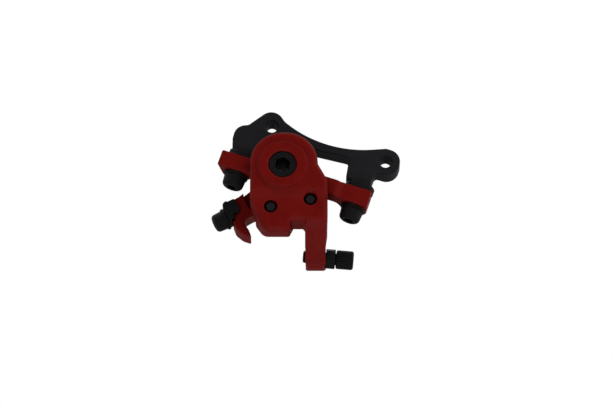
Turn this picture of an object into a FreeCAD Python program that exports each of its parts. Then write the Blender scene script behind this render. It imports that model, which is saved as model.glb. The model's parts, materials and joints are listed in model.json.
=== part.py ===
import FreeCAD, Part
import math
import os

import Sketcher

# Mechanical disc brake caliper on its adapter bracket.
# Frame: X runs along the two bracket holes, +Z from the caliper towards the bracket, and
# +Y away from the wheel side, along the pad axis. The origin is midway between the bracket
# holes on the bracket's mounting face. Sizes are millimetres and degrees.

SIZES = {
    # adapter bracket
    "hole_spacing": 51.0,
    "bracket_thick": 8.5,
    "tapped_radius": 2.5,
    "tapped_chamfer": 0.8,
    "lug_radius": 6.2,
    "saddle_radius": 50.0,
    "bar_height": 3.9,
    "post_width": 10.8,
    "left_post_drop": 14.3,
    "right_post_drop": 12.3,
    "post_bore_depth": 9.4,
    "bracket_edge": 0.5,
    # caliper ears and the bolts through them
    "ear_spacing": 51.8,
    "ear_shift": 7.4,
    "left_ear_height": 6.9,
    "right_ear_height": 7.5,
    "ear_back": 6.2,
    "left_ear_reach": 8.6,
    "right_ear_reach": 6.0,
    "ear_root_rise": 2.3,
    "half_gap": 0.2,
    "slot_width": 6.4,
    "slot_length": 8.4,
    "washer_radius": 6.2,
    "washer_stack": 3.1,
    "washer_dish": 0.9,
    "washer_bore": 3.6,
    "flat_washer_radius": 5.3,
    "flat_washer_thick": 1.2,
    "bolt_head_radius": 4.8,
    "bolt_head_height": 5.0,
    "bolt_head_round": 1.7,
    "bolt_head_taper": 0.45,
    "bolt_socket": 4.0,
    "bolt_radius": 3.0,
    "bolt_grip": 8.0,
    "thread_gap": 0.04,
    # pad axis and the turn of the caliper about it
    "pad_axis_x": 13.5,
    "pad_axis_z": 20.9,
    "caliper_turn": 18.5,
    # inner half, on the wheel side of the rotor
    "split_plane": 10.5,
    "rotor_plane": 12.0,
    "inner_thick": 11.2,
    "shoulder_rise": 1.0,
    "shoulder_level": 12.2,
    "shoulder_slope": 2.4,
    "shoulder_round": 10.0,
    "boss_rise": 1.5,
    "boss_radius": 10.05,
    "boss_taper": 1.0,
    "crown_radius": 14.0,
    "crown_shift": 0.3,
    "crown_lift": 1.5,
    "foot_level": 29.3,
    "foot_width": 11.2,
    "foot_corner": 6.3,
    "wing_reach": 18.9,
    "wing_top": 6.2,
    "flank_start": 1.2,
    "flank_flare": 0.5,
    "step_reach": 3.2,
    "notch_level": 24.3,
    "front_round": 2.2,
    "foot_round": 4.8,
    "screw_circle": 18.8,
    "left_screw_angle": 254.6,
    "right_screw_angle": 308.3,
    "screw_end_radius": 2.35,
    "screw_hole_radius": 2.8,
    "screw_recess": 1.0,
    "screw_rim": 0.4,
    # outer half, with the ears, the actuator housing and the cable stop
    "outer_thick": 11.3,
    "flange_drop": 1.0,
    "flange_level": 22.9,
    "throat_level": 19.9,
    "slot_level": 10.7,
    "outer_radius": 13.4,
    "neck_radius": 10.6,
    "neck_length": 4.8,
    "screw_head_radius": 4.1,
    "screw_head_height": 4.4,
    "leg_axis_depth": 7.0,
    "leg_round": 3.0,
    "leg_width": 8.8,
    "leg_inset": 0.7,
    "leg_half_depth": 4.4,
    "leg_root_top": 11.0,
    "toe_drop": 2.0,
    "toe_round": 5.0,
    "toe_side": 0.15,
    "leg_web_short": 2.2,
    "leg_drop": 35.6,
    # rotor slot and pads
    "slot_half_width": 2.8,
    "pad_radius": 9.6,
    "pad_tab_width": 5.0,
    "pad_tab_height": 12.6,
    "pad_gap": 3.0,
    "lining_thick": 2.8,
    "lining_inset": 0.6,
    "plate_thick": 1.8,
    "pocket_clearance": 0.35,
    "inner_back_off": 0.7,
    # pad adjuster
    "adjuster_radius": 5.9,
    "adjuster_recess": 0.8,
    "adjuster_chamfer": 0.75,
    "adjuster_socket": 6.0,
    "adjuster_socket_depth": 4.0,
    "ring_wire": 0.8,
    # actuator
    "running_gap": 0.05,
    "piston_radius": 8.4,
    "piston_length": 4.2,
    "ball_radius": 1.5,
    "ball_inset": 2.4,
    "ball_count": 3,
    "cage_thick": 0.7,
    "ramp_gap": 1.1,
    "ramp_disc_thick": 1.5,
    "thrust_thick": 0.8,
    "shaft_radius": 4.0,
    "shaft_end_gap": 0.2,
    "shaft_tap_radius": 2.5,
    "seal_thick": 1.2,
    "seal_overlap": 0.2,
    "seal_gap": 0.1,
    # lever arm
    "arm_turn": 134.5,
    "arm_plate_thick": 4.5,
    "arm_depth": 9.0,
    "hub_radius": 8.7,
    "arm_reach": 24.6,
    "arm_upper": 4.0,
    "arm_lower": 4.2,
    "cup_radius": 17.2,
    "horn_tip_reach": 22.9,
    "horn_tip_drop": 11.3,
    "arm_washer_thick": 1.0,
    "arm_washer_radius": 6.4,
    "arm_bolt_head": 4.4,
    "arm_bolt_flats": 10.0,
    # cable clamp
    "clamp_plate_thick": 2.6,
    "clamp_tab_thick": 2.2,
    "clamp_tab_reach": 3.4,
    "clamp_plate_upper": 4.7,
    "clamp_plate_lower": 3.4,
    "clamp_washer_thick": 1.1,
    "clamp_washer_radius": 4.7,
    "clamp_head_radius": 4.1,
    "clamp_head_height": 4.7,
    "clamp_shank_radius": 2.4,
    "clamp_axis_drop": 0.3,
    # return spring
    "spring_wire": 1.5,
    "spring_radius": 12.2,
    "spring_turns": 2.0,
    "spring_pitch": 2.05,
    "spring_seat_gap": 0.3,
    # barrel adjuster and its lock nut
    "barrel_tilt": 13.5,
    "barrel_axis_rise": 5.2,
    "barrel_thread_radius": 2.5,
    "barrel_bore_radius": 1.3,
    "casing_bore_radius": 2.55,
    "casing_bore_length": 6.4,
    "barrel_end_out": 0.9,
    "nut_length": 4.0,
    "nut_radius": 3.85,
    "nut_gap": 0.35,
    "knob_length": 7.4,
    "knob_radius": 4.0,
    "knob_teeth": 24,
    "tooth_depth": 0.28,
}

doc = FreeCAD.newDocument("caliper")
sheet = doc.addObject("Spreadsheet::Sheet", "Sizes")


class Dim:
    """A size and the sheet formula that it comes from."""

    def __init__(self, value, text):
        self.value = value
        self.text = text

    def __add__(self, other):
        other = dim(other)
        return Dim(self.value + other.value, f"({self.text} + {other.text})")

    __radd__ = __add__

    def __neg__(self):
        return Dim(-self.value, f"(0 - {self.text})")

    def __sub__(self, other):
        return self + (-dim(other))

    def __rsub__(self, other):
        return dim(other) + (-self)

    def __mul__(self, other):
        other = dim(other)
        return Dim(self.value * other.value, f"({self.text} * {other.text})")

    __rmul__ = __mul__

    def __truediv__(self, other):
        other = dim(other)
        return Dim(self.value / other.value, f"({self.text} / {other.text})")

    def __float__(self):
        return float(self.value)


def dim(value):
    """Any number as a Dim."""
    if isinstance(value, Dim):
        return value
    return Dim(float(value), repr(float(value)))


def cosine(angle):
    """Cosine of an angle in degrees."""
    return Dim(math.cos(math.radians(angle.value)), f"cos({angle.text} * 1deg)")


def sine(angle):
    """Sine of an angle in degrees."""
    return Dim(math.sin(math.radians(angle.value)), f"sin({angle.text} * 1deg)")


def root_of(square):
    """Square root of a Dim."""
    return Dim(math.sqrt(square.value), f"sqrt({square.text})")


def fill_sheet():
    """Writes every driving size to the sheet and returns them as Dims."""
    found = {}
    for row, (name, value) in enumerate(SIZES.items(), start=1):
        sheet.set(f"A{row}", name)
        sheet.set(f"B{row}", str(value))
        sheet.setAlias(f"B{row}", name)
        found[name] = Dim(float(value), f"Sizes.{name}")
    doc.recompute()
    return found


S = fill_sheet()
HALF_HOLES = S["hole_spacing"] / 2
LEFT_BOLT_X = -(S["ear_spacing"] / 2 + S["ear_shift"])
RIGHT_BOLT_X = S["ear_spacing"] / 2 - S["ear_shift"]
BOLT_Y = -(S["bracket_thick"] / 2)
LEG_RIGHT = S["wing_reach"] - S["leg_inset"]
LEG_LEFT = LEG_RIGHT - S["leg_width"]
LEG_MIDDLE = (LEG_LEFT + LEG_RIGHT) / 2
BARREL_LEVEL = S["leg_drop"] - S["barrel_axis_rise"]
BALL_CIRCLE = S["piston_radius"] - S["ball_inset"]
SEAL_RADIUS = S["piston_radius"] + S["seal_overlap"]

# Levels along Y, in order from the wheel side.
BOSS_Y = -(S["split_plane"] + S["inner_thick"] + S["shoulder_rise"] + S["boss_rise"])
SHOULDER_Y = BOSS_Y + S["boss_rise"]
FRONT_Y = SHOULDER_Y + S["shoulder_rise"]
SPLIT_Y = -S["split_plane"]
SLOT_FRONT_Y = -(S["rotor_plane"] + S["slot_half_width"])
SLOT_BACK_Y = -(S["rotor_plane"] - S["slot_half_width"])
INNER_LINING_Y = -(S["rotor_plane"] + S["pad_gap"] / 2)
INNER_PLATE_Y = INNER_LINING_Y - S["lining_thick"]
ADJUSTER_FOOT_Y = INNER_PLATE_Y - S["plate_thick"]
ADJUSTER_FACE_Y = BOSS_Y + S["adjuster_recess"]
OUTER_LINING_Y = -(S["rotor_plane"] - S["pad_gap"] / 2)
OUTER_PLATE_Y = OUTER_LINING_Y + S["lining_thick"]
PISTON_Y = OUTER_PLATE_Y + S["plate_thick"]
PISTON_BACK_Y = PISTON_Y + S["piston_length"]
RAMP_Y = PISTON_BACK_Y + S["ramp_gap"]
RAMP_BACK_Y = RAMP_Y + S["ramp_disc_thick"]
END_WALL_Y = RAMP_BACK_Y + S["thrust_thick"]
SEAT_Y = SPLIT_Y + S["outer_thick"]
FLANGE_Y = SEAT_Y - S["flange_drop"]
NECK_Y = SEAT_Y + S["neck_length"]
SEAL_Y = NECK_Y + S["seal_gap"]
ARM_Y = SEAL_Y + S["seal_thick"] + S["seal_gap"]
ARM_BACK_Y = ARM_Y + S["arm_plate_thick"]
BLOCK_Y = ARM_BACK_Y - S["arm_depth"]

# The line under the leg, from the toe of the inner half back to the cable stop.
LEG_FRONT_Y = S["leg_axis_depth"] - S["leg_half_depth"] - 0.1
TOE_FRONT = -(S["notch_level"] + S["toe_drop"])
WEB_FOOT = S["leg_web_short"] - S["leg_drop"]
TOE_BACK = TOE_FRONT + (WEB_FOOT - TOE_FRONT) * (SPLIT_Y - FRONT_Y) / (LEG_FRONT_Y - FRONT_Y)

# Frames as a point and a turn about Y: bracket, caliper, arm and barrel.
TURN = S["caliper_turn"]
FRAMES = {
    "bracket": (dim(0), dim(0), dim(0), dim(0)),
    "caliper": (-S["pad_axis_x"], dim(0), -S["pad_axis_z"], -TURN),
    "arm": (-S["pad_axis_x"], dim(0), -S["pad_axis_z"], S["arm_turn"]),
    "barrel": (
        LEG_MIDDLE * cosine(TURN) + BARREL_LEVEL * sine(TURN) - S["pad_axis_x"],
        S["leg_axis_depth"],
        LEG_MIDDLE * sine(TURN) - BARREL_LEVEL * cosine(TURN) - S["pad_axis_z"],
        -S["barrel_tilt"],
    ),
}


def place(item, frame, shift=(0, 0, 0)):
    """Places an object in a frame, moved by shift along the frame's own axes."""
    base_x, base_y, base_z, turn = FRAMES[frame]
    move_x, move_y, move_z = (dim(value) for value in shift)
    spot = (
        base_x + move_x * cosine(turn) + move_z * sine(turn),
        base_y + move_y,
        base_z - move_x * sine(turn) + move_z * cosine(turn),
    )
    point = FreeCAD.Vector(*[value.value for value in spot])
    rotation = FreeCAD.Rotation(FreeCAD.Vector(0, 1, 0), turn.value)
    item.Placement = FreeCAD.Placement(point, rotation)
    for axis, value in zip("xyz", spot):
        item.setExpression(f"Placement.Base.{axis}", value.text)
    if frame != "bracket":
        item.setExpression("Placement.Rotation.Angle", turn.text)


def new_body(name, frame, shift=(0, 0, 0)):
    """An empty body in a frame."""
    body = doc.addObject("PartDesign::Body", name)
    place(body, frame, shift)
    return body


def new_sketch(body, name, plane, level=0):
    """A sketch on one of the body's planes, lifted along its normal to a level."""
    sketch = body.newObject("Sketcher::SketchObject", name)
    support = [item for item in body.Origin.OriginFeatures if item.Role == plane][0]
    sketch.AttachmentSupport = [(support, "")]
    sketch.MapMode = "FlatFace"
    level = dim(level)
    if plane == "XZ_Plane":
        level = -level
    sketch.setExpression("AttachmentOffset.Base.z", level.text)
    return sketch


def hold(sketch, kind, geometry, position, value):
    """Constrains one value of a sketch to a Dim."""
    if kind == "Radius":
        index = sketch.addConstraint(Sketcher.Constraint(kind, geometry, value.value))
    else:
        index = sketch.addConstraint(
            Sketcher.Constraint(kind, -1, 1, geometry, position, value.value)
        )
    sketch.setExpression(f"Constraints[{index}]", value.text)


def draw_circle(sketch, across, up, radius):
    """A circle with its centre and radius held."""
    across, up, radius = dim(across), dim(up), dim(radius)
    centre = FreeCAD.Vector(across.value, up.value, 0)
    circle = Part.Circle(centre, FreeCAD.Vector(0, 0, 1), radius.value)
    index = sketch.addGeometry(circle, False)
    hold(sketch, "DistanceX", index, 3, across)
    hold(sketch, "DistanceY", index, 3, up)
    hold(sketch, "Radius", index, 0, radius)


def draw_outline(sketch, corners):
    """A closed outline through the corners; a third value rounds its corner."""
    points = [FreeCAD.Vector(dim(c[0]).value, dim(c[1]).value, 0) for c in corners]
    radii = [dim(c[2]) if len(c) > 2 else None for c in corners]
    count = len(corners)
    entry, leave, centres, turns = [], [], [], []
    for index, point in enumerate(points):
        before = (points[index - 1] - point).normalize()
        after = (points[(index + 1) % count] - point).normalize()
        if radii[index] is None:
            entry.append(point)
            leave.append(point)
            centres.append(None)
            turns.append(0)
            continue
        half = math.acos(max(-1, min(1, before.dot(after)))) / 2
        reach = radii[index].value / math.tan(half)
        entry.append(point + before * reach)
        leave.append(point + after * reach)
        middle = (before + after).normalize()
        centres.append(point + middle * (radii[index].value / math.sin(half)))
        turns.append(-before.cross(after).z)
    lines = []
    for index in range(count):
        start, end = leave[index], entry[(index + 1) % count]
        lines.append(sketch.addGeometry(Part.LineSegment(start, end), False))
    for index, corner in enumerate(corners):
        arriving, leaving = lines[index - 1], lines[index]
        if radii[index] is None:
            sketch.addConstraint(Sketcher.Constraint("Coincident", arriving, 2, leaving, 1))
            hold(sketch, "DistanceX", leaving, 1, dim(corner[0]))
            hold(sketch, "DistanceY", leaving, 1, dim(corner[1]))
            continue
        mark = sketch.addGeometry(Part.Point(points[index]), True)
        hold(sketch, "DistanceX", mark, 1, dim(corner[0]))
        hold(sketch, "DistanceY", mark, 1, dim(corner[1]))
        sketch.addConstraint(Sketcher.Constraint("PointOnObject", mark, 1, arriving))
        sketch.addConstraint(Sketcher.Constraint("PointOnObject", mark, 1, leaving))
        centre = centres[index]
        first, last = entry[index], leave[index]
        clockwise = turns[index] < 0
        if clockwise:
            first, last = last, first
        angle_a = math.atan2(first.y - centre.y, first.x - centre.x)
        angle_b = math.atan2(last.y - centre.y, last.x - centre.x)
        circle = Part.Circle(centre, FreeCAD.Vector(0, 0, 1), radii[index].value)
        arc = sketch.addGeometry(Part.ArcOfCircle(circle, angle_a, angle_b), False)
        if clockwise:
            sketch.addConstraint(Sketcher.Constraint("Tangent", arriving, 2, arc, 2))
            sketch.addConstraint(Sketcher.Constraint("Tangent", leaving, 1, arc, 1))
        else:
            sketch.addConstraint(Sketcher.Constraint("Tangent", arriving, 2, arc, 1))
            sketch.addConstraint(Sketcher.Constraint("Tangent", leaving, 1, arc, 2))
        hold(sketch, "Radius", arc, 0, radii[index])


def pad_up(body, sketch, length, backwards):
    """Pads a sketch; a sketch on the XZ plane goes towards -Y unless backwards is set."""
    pad = body.newObject("PartDesign::Pad", sketch.Name + "_pad")
    pad.Profile = sketch
    pad.Reversed = backwards
    pad.setExpression("Length", dim(length).text)
    return pad


def prism(name, frame, plane, start, end, outlines, shift=(0, 0, 0)):
    """A body padded from one level to the next; outlines are corners or circles."""
    body = new_body(name, frame, shift)
    sketch = new_sketch(body, name + "_outline", plane, start)
    for outline in outlines:
        if isinstance(outline, tuple):
            draw_circle(sketch, *outline)
        else:
            draw_outline(sketch, outline)
    towards = plane == "XZ_Plane"
    pad_up(body, sketch, dim(end) - dim(start), towards)
    return body


def turned(name, frame, plane, axis, corners, shift=(0, 0, 0)):
    """A body turned about the sketch's H or V axis."""
    body = new_body(name, frame, shift)
    sketch = new_sketch(body, name + "_profile", plane)
    draw_outline(sketch, corners)
    revolution = body.newObject("PartDesign::Revolution", name + "_turn")
    revolution.Profile = sketch
    revolution.ReferenceAxis = (sketch, [axis])
    revolution.Angle = 360
    return body


def round_bar(name, frame, radius, start, end, axis="Y", shift=(0, 0, 0)):
    """A plain cylinder along one axis of its frame, between two levels."""
    plane = {"Y": "XZ_Plane", "X": "YZ_Plane", "Z": "XY_Plane"}[axis]
    return prism(name, frame, plane, start, end, [(0, 0, radius)], shift)


def block(name, frame, low, high, shift=(0, 0, 0)):
    """A box between two corners of its frame."""
    corners = [
        (low[0], low[2]),
        (high[0], low[2]),
        (high[0], high[2]),
        (low[0], high[2]),
    ]
    return prism(name, frame, "XZ_Plane", low[1], high[1], [corners], shift)


def fuse(name, pieces):
    """The union of some pieces."""
    result = doc.addObject("Part::MultiFuse", name)
    result.Shapes = pieces
    result.Refine = True
    return result


def cut(name, base, tools):
    """A piece with tools taken away."""
    tool = tools[0]
    if len(tools) > 1:
        tool = doc.addObject("Part::MultiFuse", name + "_tools")
        tool.Shapes = tools
    result = doc.addObject("Part::Cut", name)
    result.Base = base
    result.Tool = tool
    result.Refine = True
    return result


def common(name, one, two):
    """What two pieces share."""
    result = doc.addObject("Part::Common", name)
    result.Base = one
    result.Tool = two
    result.Refine = True
    return result


def group(name, pieces):
    """Several solids in one sub-part."""
    result = doc.addObject("Part::Compound", name)
    result.Links = pieces
    return result


def six_sides(flats, across=0, up=0, turned_by=0):
    """Corners of a hexagon from its width across flats."""
    reach = dim(flats) / 2 * (1 / math.cos(math.radians(30)))
    corners = []
    for index in range(6):
        angle = math.radians(60 * index + turned_by)
        corners.append((dim(across) + reach * math.cos(angle), dim(up) + reach * math.sin(angle)))
    return corners


def edge_is_wanted(shape, edge, wanted):
    """True where the edge's middle and its two faces' directions pass the test."""
    faces = shape.ancestorsOfType(edge, Part.Face)
    if len(faces) != 2:
        return False
    middle = edge.valueAt((edge.FirstParameter + edge.LastParameter) / 2)
    normals = []
    for face in faces:
        spot = face.Surface.parameter(middle)
        normals.append(face.normalAt(*spot))
    return wanted(middle, normals[0], normals[1])


def soften(body, name, size, wanted, kind="Fillet"):
    """Rounds or bevels the edges of a body's tip that pass the test."""
    doc.recompute()
    base = body.Tip
    shape = base.Shape
    names = []
    for index, edge in enumerate(shape.Edges, start=1):
        if edge_is_wanted(shape, edge, wanted):
            names.append(f"Edge{index}")
    feature = body.newObject("PartDesign::" + kind, name)
    feature.Base = (base, names)
    if kind == "Fillet":
        feature.setExpression("Radius", dim(size).text)
    else:
        feature.setExpression("Size", dim(size).text)
    doc.recompute()
    return feature


NODES = {}


def bracket_pieces():
    """The bracket, its washers and the ear bolts."""
    half = HALF_HOLES
    lug = S["lug_radius"]
    left, right = LEFT_BOLT_X, RIGHT_BOLT_X
    width = S["post_width"]
    left_foot, right_foot = -S["left_post_drop"], -S["right_post_drop"]
    bar = S["bar_height"]
    saddle_corner = (-0.5, -0.2 - S["saddle_radius"] * 0.081, S["saddle_radius"])
    outline = [
        (left - 5.1, left_foot, 0.8),
        (left - 5.1 + width, left_foot, 0.8),
        (left + width - 4.4, -(bar + 1.1), 2.5),
        (-4.6, -(bar + 0.4), 6),
        (right - 8.2, -(bar - 0.7), 1.5),
        (right - 6.7, right_foot, 0.8),
        (right - 6.7 + width, right_foot, 0.8),
        (right - 6.6 + width, -lug + 0.2, 1.6),
        (half + lug - 0.2, -lug + 0.3, lug - 0.8),
        (half + lug - 0.2, lug - 0.3, lug - 0.8),
        (half - 1.5, lug - 0.3, 3),
        saddle_corner,
        (-half + 4.6, lug - 2.25, 4),
        (-half - 1.9, lug + 2.85, lug - 0.8),
        (left - 1.9, -2.3, 2.5),
        (left - 6.7, -4.4, 5),
        (left - 6.4, -10.2, 4),
    ]
    body = prism("bracket_blank", "bracket", "XZ_Plane", -S["bracket_thick"], 0, [outline])
    soften(
        body,
        "bracket_rounds",
        S["bracket_edge"],
        lambda spot, one, two: abs(abs(one.y) - abs(two.y)) > 0.9,
    )
    tools = []
    thick = S["bracket_thick"]
    tapped, bevel = S["tapped_radius"], S["tapped_chamfer"]
    for side, middle in (("left", -half), ("right", half)):
        profile = [
            (0, -thick - 1),
            (tapped + bevel + 1, -thick - 1),
            (tapped, -thick + bevel),
            (tapped, 1),
            (0, 1),
        ]
        place_at = (middle, 0, 0)
        tools.append(
            turned(f"{side}_hole_tool", "bracket", "XY_Plane", "V_Axis", profile, place_at)
        )
    bore = S["bolt_radius"] + S["thread_gap"]
    for side, middle, foot in (("left", left, left_foot), ("right", right, right_foot)):
        top = foot + S["post_bore_depth"]
        profile = [
            (0, foot - 1),
            (bore + 1.6, foot - 1),
            (bore, foot + 0.6),
            (bore, top),
            (0, top + bore * 0.55),
        ]
        place_at = (middle, BOLT_Y, 0)
        tools.append(
            turned(f"{side}_bore_tool", "bracket", "XZ_Plane", "V_Axis", profile, place_at)
        )
    NODES["adapter_bracket"] = cut("adapter_bracket", body, tools)

    sides = (("left", left, left_foot), ("right", right, right_foot))
    upper, lower, flat, bolts = [], [], [], []
    for side, middle, foot in sides:
        spot = (middle, BOLT_Y, 0)
        outer, inner = S["washer_radius"], S["washer_bore"]
        dish = S["washer_dish"]
        top = foot
        low = foot - S["washer_stack"]
        gap = S["running_gap"]
        rim = top - S["washer_stack"] / 2 - dish / 2
        profile = [
            (inner, top),
            (outer - 0.3, top),
            (outer, top - 0.3),
            (outer, rim + gap + 0.1),
            (outer - 0.1, rim + gap + 0.04),
            (inner, rim + gap + dish),
        ]
        upper.append(turned(f"{side}_dish", "bracket", "XZ_Plane", "V_Axis", profile, spot))
        profile = [
            (inner, low),
            (outer - 0.3, low),
            (outer, low + 0.3),
            (outer, rim - 0.1),
            (outer - 0.1, rim),
            (inner, rim + dish),
        ]
        lower.append(turned(f"{side}_dome", "bracket", "XZ_Plane", "V_Axis", profile, spot))
        ear_foot = low - S[f"{side}_ear_height"]
        rest = ear_foot - S["flat_washer_thick"]
        reach = S["flat_washer_radius"]
        hole = S["bolt_radius"] + 0.25
        profile = [
            (hole, rest),
            (reach - 0.25, rest),
            (reach, rest + 0.25),
            (reach, ear_foot),
            (hole, ear_foot),
        ]
        flat.append(turned(f"{side}_flat", "bracket", "XZ_Plane", "V_Axis", profile, spot))
        head, tall = S["bolt_head_radius"], S["bolt_head_height"]
        curve, taper = S["bolt_head_round"], S["bolt_head_taper"]
        shank = S["bolt_radius"]
        tip = foot + S["bolt_grip"]
        profile = [
            (0, rest - tall),
            (head - taper, rest - tall, curve),
            (head, rest - 0.2),
            (head - 0.2, rest),
            (shank, rest),
            (shank, tip - 0.8),
            (shank - 0.8, tip),
            (0, tip),
        ]
        blank = turned(f"{side}_bolt_blank", "bracket", "XZ_Plane", "V_Axis", profile, spot)
        socket = prism(
            f"{side}_bolt_socket",
            "bracket",
            "XY_Plane",
            rest - tall - 1,
            rest - tall + 2.8,
            [six_sides(S["bolt_socket"])],
            spot,
        )
        bolts.append(cut(f"{side}_bolt", blank, [socket]))
    NODES["concave_washers"] = group("concave_washers", upper)
    NODES["convex_washers"] = group("convex_washers", lower)
    NODES["ear_washers"] = group("ear_washers", flat)
    NODES["ear_bolts"] = group("ear_bolts", bolts)


def pad_pocket(name, start, end):
    """Room for a pad plate in a casting, from one level to the next."""
    room = S["pocket_clearance"]
    half = S["pad_tab_width"] / 2 + room
    bore = round_bar(name + "_bore", "caliper", S["pad_radius"] + room, start, end)
    tab = block(
        name + "_tab",
        "caliper",
        (-half, start, 0),
        (half, end, S["pad_tab_height"] + room),
    )
    return [bore, tab]


def screw_spots():
    """Where the two body screws stand, in the caliper's frame."""
    spots = []
    for name in ("left", "right"):
        angle = S[f"{name}_screw_angle"]
        across = S["screw_circle"] * cosine(angle)
        up = S["screw_circle"] * sine(angle)
        spots.append((name, across, up))
    return spots


def inner_half():
    """The casting on the wheel side."""
    crown = S["crown_radius"]
    shift, lift = S["crown_shift"], S["crown_lift"]
    step, notch = S["step_reach"], -S["notch_level"]
    foot = -S["foot_level"]
    left = shift - crown
    right = shift + crown
    reach = S["wing_reach"]
    wing = -S["wing_top"]
    corner = S["front_round"] + 0.4
    top = [
        (reach, wing, corner),
        (right + S["flank_flare"], S["flank_start"], 3),
        (right, lift + crown, crown - 0.5),
        (left, lift + crown, crown - 0.5),
    ]
    full = top + [
        (left, -15.2, 10),
        (step - S["foot_width"], foot, S["foot_corner"]),
        (step, foot, corner),
        (step + 0.2, notch, 1.0),
        (LEG_LEFT + S["toe_side"], notch, 1.2),
        (LEG_LEFT + S["toe_side"], TOE_BACK - 3),
        (LEG_RIGHT - S["toe_side"], TOE_BACK - 3),
        (reach, notch + 3, 6),
    ]
    level = -S["shoulder_level"]
    slope = S["shoulder_slope"]
    shoulder = top + [(left, level - slope), (reach, level - slope)]
    slabs = []
    for name, outline, face in (("inner_slab", full, FRONT_Y), ("shoulder", shoulder, SHOULDER_Y)):
        slab = prism(name, "caliper", "XZ_Plane", face, SPLIT_Y, [outline])
        soften(
            slab,
            name + "_rounds",
            S["front_round"],
            lambda spot, one, two: spot.y < -20.5 and abs(abs(one.y) - abs(two.y)) > 0.9,
        )
        slabs.append(slab)
    boss_radius, taper = S["boss_radius"], S["boss_taper"]
    boss = turned(
        "boss",
        "caliper",
        "XY_Plane",
        "V_Axis",
        [
            (0, BOSS_Y),
            (boss_radius, BOSS_Y, 0.5),
            (boss_radius + taper, SHOULDER_Y + 0.1),
            (boss_radius + taper, SHOULDER_Y + 1),
            (0, SHOULDER_Y + 1),
        ],
    )
    slope_tool = prism(
        "shoulder_slope_tool",
        "caliper",
        "YZ_Plane",
        left - 1,
        reach + 1,
        [
            [
                (SHOULDER_Y - 1, level + slope + 3),
                (SHOULDER_Y, level + slope + 3),
                (SHOULDER_Y, level + slope, S["shoulder_round"]),
                (FRONT_Y, level - slope),
                (FRONT_Y, level - slope - 1),
                (SHOULDER_Y - 1, level - slope - 1),
            ]
        ],
    )
    slabs[1] = cut("shoulder_sloped", slabs[1], [slope_tool])
    whole = fuse("inner_whole", slabs + [boss])
    bore = S["adjuster_radius"] + S["running_gap"]
    tools = [
        prism(
            "toe_tool",
            "caliper",
            "YZ_Plane",
            LEG_LEFT - 0.5,
            reach + 1,
            [
                [
                    (FRONT_Y - 1, notch),
                    (FRONT_Y, notch),
                    (FRONT_Y, TOE_FRONT, S["toe_round"]),
                    (SPLIT_Y, TOE_BACK),
                    (SPLIT_Y + 1, TOE_BACK),
                    (SPLIT_Y + 1, TOE_BACK - 4),
                    (FRONT_Y - 1, TOE_BACK - 4),
                ]
            ],
        ),
        turned(
            "adjuster_bore_tool",
            "caliper",
            "XY_Plane",
            "V_Axis",
            [
                (0, BOSS_Y - 1),
                (bore + 1.5, BOSS_Y - 1),
                (bore, BOSS_Y + 0.5),
                (bore, ADJUSTER_FOOT_Y),
                (0, ADJUSTER_FOOT_Y),
            ],
        )
    ]
    tools.append(
        prism(
            "foot_round_tool",
            "caliper",
            "YZ_Plane",
            -30,
            step + 1,
            [
                [
                    (SPLIT_Y - S["foot_round"] - 0.5, foot),
                    (SPLIT_Y, foot, S["foot_round"]),
                    (SPLIT_Y, foot + S["foot_round"] + 0.15),
                    (SPLIT_Y + 1, foot + S["foot_round"] + 0.15),
                    (SPLIT_Y + 1, foot - 1),
                    (SPLIT_Y - S["foot_round"] - 0.5, foot - 1),
                ]
            ],
        )
    )
    floor = ADJUSTER_FOOT_Y - S["inner_back_off"]
    tools += pad_pocket("inner_pocket", floor, SPLIT_Y + 1)
    tools.append(
        block(
            "inner_slot_tool",
            "caliper",
            (-30, SLOT_FRONT_Y, -S["slot_level"]),
            (30, SPLIT_Y + 1, 30),
        )
    )
    for name, across, up in screw_spots():
        tools.append(
            turned(
                f"{name}_screw_hole",
                "caliper",
                "XY_Plane",
                "V_Axis",
                [
                    (0, SPLIT_Y + 1),
                    (S["screw_end_radius"] + 0.15, SPLIT_Y + 1),
                    (S["screw_end_radius"] + 0.15, FRONT_Y + 4),
                    (S["screw_hole_radius"], FRONT_Y + 3.6),
                    (S["screw_hole_radius"], FRONT_Y + S["screw_rim"]),
                    (S["screw_hole_radius"] + S["screw_rim"] + 1, FRONT_Y - 1),
                    (0, FRONT_Y - 1),
                ],
                (across, 0, up),
            )
        )
    NODES["inner_body"] = cut("inner_body", whole, tools)


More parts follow.
